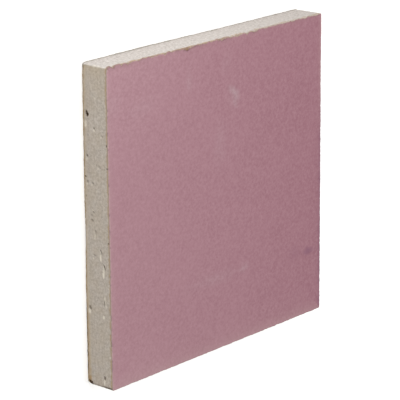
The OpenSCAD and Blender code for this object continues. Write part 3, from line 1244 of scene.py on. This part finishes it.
@dataclass
class LinerPaper:
    """One of the two papers glued to the core: inner plies and an outer ply that is torn back in places."""

    outline: Outline
    bottom: float
    top: float
    side: Side
    outer: bpy.types.Material
    ply: bpy.types.Material
    torn: bpy.types.Material
    # Section of the cut side, and the rings of the two flat faces
    inner_share: float = 0.55
    bulge: float = 0.02
    ply_step: float = 0.02
    rim_round: float = 0.06
    cap_insets: tuple[float, ...] = (0.3, 0.8, 2.0, 5.0, 12.0, 25.0, 42.0)
    cap_fade: Slope = Slope(1.0, 2.0, 0.0)
    corner_fade: Slope = Slope(1.0, 0.0, 2.0)
    # Rim of the inner plies
    ragged_mean: float = 0.02
    face_ragged: tuple[Noise, ...] = (Noise(0.05, 1.7, 201), Noise(0.05, 0.5, 202))
    back_ragged: tuple[Noise, ...] = (Noise(0.05, 1.7, 211), Noise(0.05, 0.5, 212))
    fluff: Noise = Noise(0.1, 1.3, 203)
    rub: Slope = Slope(0.35, 0.08, 0.0)
    rub_share: float = 0.53
    flare: float = 0.04
    flare_most: Bell = Bell(0.24, 0.27, 0.2)
    flare_ends: Slope = Slope(1.0, 0.0, 0.03)
    # Tears of the outer ply, and the corner torn off the back paper
    long_tears: Noise = Noise(0.3, 3.0, 221)
    long_mean: float = 0.03
    short_tears: Noise = Noise(0.7, 0.8, 222)
    short_mean: float = -0.07
    plain_share: float = 0.25
    thinning: float = 0.5
    strip: float = 0.05
    strip_right: float = 0.38
    blunt_length: float = 2.4
    blunt_depth: float = 0.5
    tear: float = 1.1
    # Grime on the face paper's rim and on the back paper's, with painted shade on the back paper's top rim
    grime_noise: Noise = Noise(1.0, 2.2, 231)
    spot_noise: Noise = Noise(1.0, 1.0, 232)
    spot_start: float = 0.1
    spots: PerEdge = (0.5, 0.0, 0.0, 0.35)
    right_grime: Slope = Slope(0.55, 5 / 6, 1 / 2)
    bottom_grime: float = 0.1
    face_grime_ragged: float = 0.4
    nick_grime: Slope = Slope(0.9, 0.9, -0.1)
    foot_rise: Slope = Slope(1.0, 0.70, 0.74)
    foot_grime: float = 0.2
    foot_grime_ragged: float = 0.5
    head_grime: Slope = Slope(0.35, 4.5, 1.5)
    # Painted shade on the back paper's top rim, darker to the right
    film: float = 0.05
    right_shade: float = 0.2
    # Brown scuffs on the top rim
    scuff: float = 0.1
    scuff_most: float = 0.5
    scuff_noise: Noise = Noise(0.5, 1.4, 233)
    # Pale rims
    back_dust: PerEdge = (0.05, 0.20, 0.20, 0.85)
    back_rub_share: float = 0.5
    face_rub: PerEdge = (0.36, 0.36, 0.05, 0.12)
    face_rub_upper: Slope = Slope(0.45, 0.55, 0.80)
    face_dust: PerEdge = (0.1, 0.3, 0.1, 0.1)
    face_dust_right: Slope = Slope(0.6, 0.45, 0.85)
    # How far in from the rim the looks fade, and how strong they are on the sides of the plies
    rim_reach: PerEdge = (0.8, 2.5, 0.6, 1.2)
    grime_reach: PerEdge = (0.3, 0.8, 0.8, 0.3)
    scuff_reach: float = 0.5
    face_ply_grime: float = 0.3
    rim_gain: float = 2.0
    side_most: float = 0.9

    def inner_rim(self) -> np.ndarray:
        """Gives how far the inner plies' rim lies inside the outline.

        It is smooth noise at two sizes. On its top edge the face paper doubles it and adds fluff, bites and
        bumps. The back paper adds the arris's wear and a rubbed stretch on its left edge, and on its top
        edge it flares out in a bell curve.

        Returns:
            Distances inwards, in millimetres.
        """
        outline, top = self.outline, self.outline.on(Edge.TOP)
        noises = self.face_ragged if self.side is Side.FACE else self.back_ragged
        inward = self.ragged_mean + sum(outline.noise(noise) for noise in noises)
        if self.side is Side.FACE:
            fluff = outline.noise(self.fluff) * self.corner_fade.at(outline.from_corners())
            return inward + top * (inward + fluff + bite_depths(outline))
        rubbed = self.rub.at(np.abs(outline.side_shares() - self.rub_share)) * outline.on(Edge.LEFT)
        across = outline.top_shares()
        flared = (self.flare + self.flare_most.at(across)) * top
        flared = flared * self.flare_ends.at(np.minimum(across, 1 - across))
        return inward + rubbed - flared + ArrisWear().depths(outline)

    def torn_back(self) -> np.ndarray:
        """Gives how far the outer ply is torn back from the inner plies.

        Long and short tears are the parts of two smooth noises that are over 0. The face paper's top edge
        has the most of them, thinning out to the right, on a bare strip that widens to the right, and it has
        the single tears. All run out towards the corners. The face paper's outer ply has a blunt top left
        corner, which follows the square of a straight fall.

        Returns:
            Distances inwards, in millimetres.
        """
        outline, across = self.outline, self.outline.top_shares()
        top = outline.on(Edge.TOP) & (self.side is Side.FACE)
        torn = np.maximum(outline.noise(self.long_tears) + self.long_mean, 0)
        torn = torn + np.maximum(outline.noise(self.short_tears) + self.short_mean, 0)
        torn = torn * np.where(top, 1 - self.thinning * across, self.plain_share)
        torn = torn + top * (self.strip + self.strip_right * across)
        for tear in TEARS:
            torn = np.maximum(torn, top * tear.depths(outline))
        torn = torn * self.corner_fade.at(outline.from_corners())
        if self.side is Side.BACK:
            return torn
        fall = Slope(1.0, outline.corner_r + self.blunt_length, outline.corner_r)
        blunt = self.blunt_depth * fall.at(outline.from_top_left()) ** 2
        return np.maximum(torn, blunt * (outline.on(Edge.LEFT) | outline.on(Edge.TOP)))

    def grime(self) -> np.ndarray:
        """Gives how dirty the rim is: the back paper's left foot and the face paper's right edge, and painted
        shade on the back paper's top, darker to the right.

        Smooth noise makes it uneven, and its part over a threshold gives the face paper dark spots.

        Returns:
            Cover from 0 to 1.
        """
        outline, noise = self.outline, self.outline.noise(self.grime_noise)
        left, bottom, right, top = (outline.on(edge) for edge in Edge)
        shares = outline.side_shares()
        if self.side is Side.FACE:
            spots = np.maximum(outline.noise(self.spot_noise) - self.spot_start, 0)
            film = self.right_grime.at(shares) * right + self.bottom_grime * bottom
            film = film * (1 + self.face_grime_ragged * noise)
            nick = self.nick_grime.at(NICK.distance(outline)) * top
            return film + nick + outline.by_edge(*self.spots) * spots
        foot = self.foot_rise.at(shares) * np.clip(self.foot_grime + self.foot_grime_ragged * noise, 0, 1)
        # Painted shade on the back paper's top rim, darker to the right
        film = self.film + self.right_shade * outline.top_shares()
        return (foot + self.head_grime.at(outline.along)) * left + film * top

    def scuffs(self) -> np.ndarray:
        """Gives how brown the outer ply's top rim is rubbed: a little all along, and more in bell curves.

        Returns:
            Cover from 0 to 1.
        """
        cover = self.scuff + sum(rub.at(self.outline.top_shares()) for rub in RUBS)
        cover = cover * (1 + self.outline.noise(self.scuff_noise))
        return np.minimum(cover, self.scuff_most) * self.outline.on(Edge.TOP)

    def rim_wear(self) -> tuple[np.ndarray, np.ndarray]:
        """Gives how pale each rim is: rubbed on the outer ply, and dusty on the bare plies.

        The back paper's top rim has the most dust, and the face paper's top rim has more to the right.

        Returns:
            Covers from 0 to 1 of the outer ply and of the bare plies.
        """
        outline = self.outline
        if self.side is Side.BACK:
            dust = outline.by_edge(*self.back_dust)
            return self.back_rub_share * dust, dust
        upper = self.face_rub_upper.at(outline.side_shares()) * outline.on(Edge.RIGHT)
        right = self.face_dust_right.at(outline.top_shares()) * outline.on(Edge.TOP)
        return outline.by_edge(*self.face_rub) + upper, outline.by_edge(*self.face_dust) + right

    def build(self) -> bpy.types.Object:
        """Makes the paper's closed mesh and dresses its outer face, its cut side and its glued face.

        From the glued face up, the cut side is the inner plies' rim, a step to the outer ply's rim and a
        small round. The back paper is the same section upside down.

        Returns:
            The object, in place of the CAD paper.
        """
        inner = self.inner_rim()
        outer = inner + self.torn_back()
        thickness = self.top - self.bottom
        step = self.inner_share * thickness
        insets = np.array(self.cap_insets)
        fades = self.cap_fade.at(insets)
        bare_rings = [(0.0, inset + inner * fade) for fade, inset in zip(fades[::-1], insets[::-1])]
        bare_rings += [(0.0, inner), (step / 2, inner - self.bulge), (step, inner)]
        rim = outer + self.rim_round
        side_rings = [(step + self.ply_step, outer), (thickness - self.rim_round, outer), (thickness, rim)]
        face_rings = [(thickness, inset + rim * fade) for fade, inset in zip(fades, insets)]
        section = bare_rings + side_rings + face_rings
        rings = np.empty((len(section), len(inner), 3))
        for ring, (rise, inward) in zip(rings, section):
            ring[:, :2] = self.outline.inset(inward)
            ring[:, 2] = self.bottom + rise if self.side is Side.FACE else self.top - rise
        if self.side is Side.BACK:
            rings[..., :2] = self.tear_corner(rings[..., :2])
        # Pale wear, grime with the back paper's painted shade, and brown scuffs fade away from the rim, and
        # the plies' sides have them in full
        wear, bare = self.rim_wear()
        dirt_and_shade, scuff = self.grime(), self.scuffs()
        ply_dirt = self.face_ply_grime * dirt_and_shade if self.side is Side.FACE else dirt_and_shade
        looks = {}
        for attribute, cover, reach, ply_cover, gain in (
            ("rim", wear, self.outline.by_edge(*self.rim_reach), bare, self.rim_gain),
            ("grime", dirt_and_shade, self.outline.by_edge(*self.grime_reach), ply_dirt, 1.0),
            ("scuff", scuff, self.scuff_reach, scuff, 1.0),
        ):
            plies = np.tile(ply_cover, (len(bare_rings), 1))
            side = np.tile(np.minimum(gain * cover, self.side_most), (len(side_rings), 1))
            looks[attribute] = np.concatenate([plies, side, np.exp(-insets[:, None] / reach) * cover])
        # Strips of faces from the glued face's middle on: bare plies, one torn step and the outer ply
        slots = np.repeat([1, 2, 0], [len(bare_rings), 1, len(side_rings) + len(face_rings)])
        if self.side is Side.BACK:
            rings, slots = rings[::-1], slots[::-1]
            looks = {name: values[::-1] for name, values in looks.items()}
        poles = np.array([[0, 0, self.bottom], [0, 0, self.top]])
        name = "pink_face_paper" if self.side is Side.FACE else "brown_back_paper"
        piece = closed_mesh(name, rings, poles)
        for attribute, values in looks.items():
            add_attribute(piece, attribute, values)
        for material in (self.outer, self.ply, self.torn):
            piece.data.materials.append(material)
        piece.data.polygons.foreach_set("material_index", np.repeat(slots, len(inner)).astype(np.int32))
        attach(piece, BODY)
        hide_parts("face_paper" if self.side is Side.FACE else "back_paper")
        return piece

    def tear_corner(self, rim: np.ndarray) -> np.ndarray:
        """Tears the lower left corner off: points under x + y = tear from it move to that line.

        Args:
            rim: points of the rim.

        Returns:
            The points, those at the corner moved in.
        """
        corner = -np.array([self.outline.width, self.outline.length]) / 2
        short = np.maximum(self.tear - (rim - corner).sum(-1), 0) / 2
        return rim + short[..., None]


@dataclass(frozen=True)
class Lamp:
    """A square softbox, given by its place, its size and its power."""

    name: str
    place: tuple[float, float, float]
    size: float
    power: float

    def build(self) -> None:
        """Hangs the softbox so that it faces the piece."""
        light = bpy.data.lights.new(self.name, "AREA")
        light.shape = "SQUARE"
        light.size = self.size
        light.energy = self.power
        lamp = bpy.data.objects.new(self.name, light)
        lamp.matrix_world = Matrix.Translation(self.place) @ (
            Vector(self.place).to_track_quat("Z", "Y").to_matrix().to_4x4())
        bpy.context.scene.collection.objects.link(lamp)


@dataclass
class Studio:
    """The white table, the soft light over it and the camera."""

    lamps: tuple[Lamp, ...] = (
        Lamp("key_softbox", (-0.10, 0.45, 0.22), 0.30, 1.2),
        Lamp("fill_softbox", (0.15, -0.05, 0.70), 0.50, 1.3),
    )
    sky: float = 0.5
    floor_size: float = 6.0
    floor_drop: float = 0.05
    floor_white: str = "#f2f2f0"
    floor_glow: float = 0.45
    eye: tuple[float, float, float] = (-0.61166, 0.23804, 0.54313)
    aim: tuple[float, float, float] = (-0.004506, -0.0016, 0.00625)
    roll: float = -103.579
    focal_pixels: float = 2260.5
    frame_pixels: float = 400.0
    sensor: float = 36.0
    near: float = 0.01

    def floor(self) -> bpy.types.Object:
        """Lays the white table just under the piece.

        Returns:
            Nothing: the table is marked as stage, but not given back.
        """
        half = self.floor_size / 2
        across = np.array([-half, half])
        x, y = np.meshgrid(across, across)
        corners = np.column_stack([x.ravel(), y.ravel(), np.full(4, -self.floor_drop * MM)])
        mesh = bpy.data.meshes.new("white_table")
        mesh.from_pydata(corners.tolist(), [], [(0, 1, 3, 2)])
        table = bpy.data.objects.new("white_table", mesh)
        bpy.context.scene.collection.objects.link(table)
        mesh.materials.append(self.table_finish())
        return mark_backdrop(table)

    def seen(self, tree: bpy.types.NodeTree) -> bpy.types.Node:
        """Adds nodes that tell whether a camera sees a thing, also in a mirror or through glass.

        Args:
            tree: the node tree that gets them.

        Returns:
            A node that gives 1 for such a ray, and 0 for light that falls on something.
        """
        path = add_node(tree, "LightPath").outputs
        seen = path["Is Camera Ray"]
        for ray in ("Is Glossy Ray", "Is Transmission Ray"):
            seen = add_node(tree, "Math", {"operation": "MAXIMUM"}, {0: seen, 1: path[ray]})
        return seen

    def table_finish(self) -> bpy.types.Material:
        """Builds matt white laminate, which a camera sees a little brighter, so that it reads as white.

        Returns:
            The material.
        """
        material = bpy.data.materials.new("white_table_laminate")
        tree = start_tree(material)
        white = add_node(tree, "BsdfDiffuse", None, {"Color": to_linear(self.floor_white)})
        glow = add_node(tree, "Math", {"operation": "MULTIPLY"}, {0: self.seen(tree), 1: self.floor_glow})
        light = add_node(tree, "Emission", None, {"Strength": glow})
        both = add_node(tree, "AddShader", None, {0: white, 1: light})
        add_node(tree, "OutputMaterial", None, {"Surface": both})
        return material

    def world(self) -> None:
        """Surrounds the table with soft light, which a camera sees as plain white."""
        world = bpy.data.worlds.new("white_studio")
        tree = start_tree(world)
        strength = add_node(tree, "MapRange", None, {
            "Value": self.seen(tree), "To Min": self.sky, "To Max": 1.0})
        light = add_node(tree, "Background", None, {
            "Color": (1.0, 1.0, 1.0, 1.0), "Strength": strength})
        add_node(tree, "OutputWorld", None, {"Surface": light})
        bpy.context.scene.world = world

    def camera(self) -> None:
        """Sets the camera: it looks from eye to aim, turned about that line by roll from upright."""
        lens = bpy.data.cameras.new("camera")
        lens.sensor_width = self.sensor
        lens.lens = self.focal_pixels / self.frame_pixels * self.sensor
        lens.clip_start = self.near
        eye, aim = Vector(self.eye), Vector(self.aim)
        forward = (aim - eye).normalized()
        level = forward.cross(Vector((0, 0, 1))).normalized()
        turn = math.radians(self.roll)
        up = math.cos(turn) * level.cross(forward) + math.sin(turn) * level
        right = forward.cross(up)
        camera = bpy.data.objects.new("camera", lens)
        camera.matrix_world = Matrix.Translation(eye) @ Matrix((right, up, -forward)).transposed().to_4x4()
        bpy.context.scene.collection.objects.link(camera)
        bpy.context.scene.camera = camera

    def build(self) -> None:
        """Sets up the table, the light, the camera and the plain view transform."""
        self.floor()
        for lamp in self.lamps:
            lamp.build()
        self.world()
        self.camera()
        bpy.context.scene.view_settings.view_transform = "Standard"


def node_heights(node: str) -> tuple[float, float]:
    """Gives a CAD node's lowest and highest point, in millimetres."""
    low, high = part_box(node)
    return low.z / MM, high.z / MM


def main() -> None:
    """Builds the studio and then the core and the two papers around the frame."""
    logging.basicConfig(level=logging.INFO, format="%(name)s: %(message)s")
    Studio().build()
    low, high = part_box("gypsum_core")
    outline = Outline((high.x - low.x) / MM, (high.y - low.y) / MM)
    pink = PinkLiner().material(outline.width / 2, outline.length / 2)
    brown = KraftPaper(dust="#b7b2a9").material()
    ply = KraftPaper("bare_paper_ply", "#bfa598", "#a48a7b", "#d0bcb0").material()
    tan = KraftPaper(
        "tan_paper_ply", "#cdb288", "#b8986a", "#dcc8a4", grime="#4a3420", dust="#bdbbb6").material()
    torn = KraftPaper("torn_paper_ply", "#987965", "#80604c", "#ae917c", grime="#7a5424").material()
    parts = (
        GypsumCore(outline, *node_heights("gypsum_core"), SawnGypsum()),
        LinerPaper(outline, *node_heights("face_paper"), Side.FACE, pink, ply, torn),
        LinerPaper(outline, *node_heights("back_paper"), Side.BACK, brown, tan, tan),
    )
    for part in parts:
        piece = part.build()
        LOG.info("%s: %d faces", piece.name, len(piece.data.polygons))


if __name__ == "__main__":
    main()
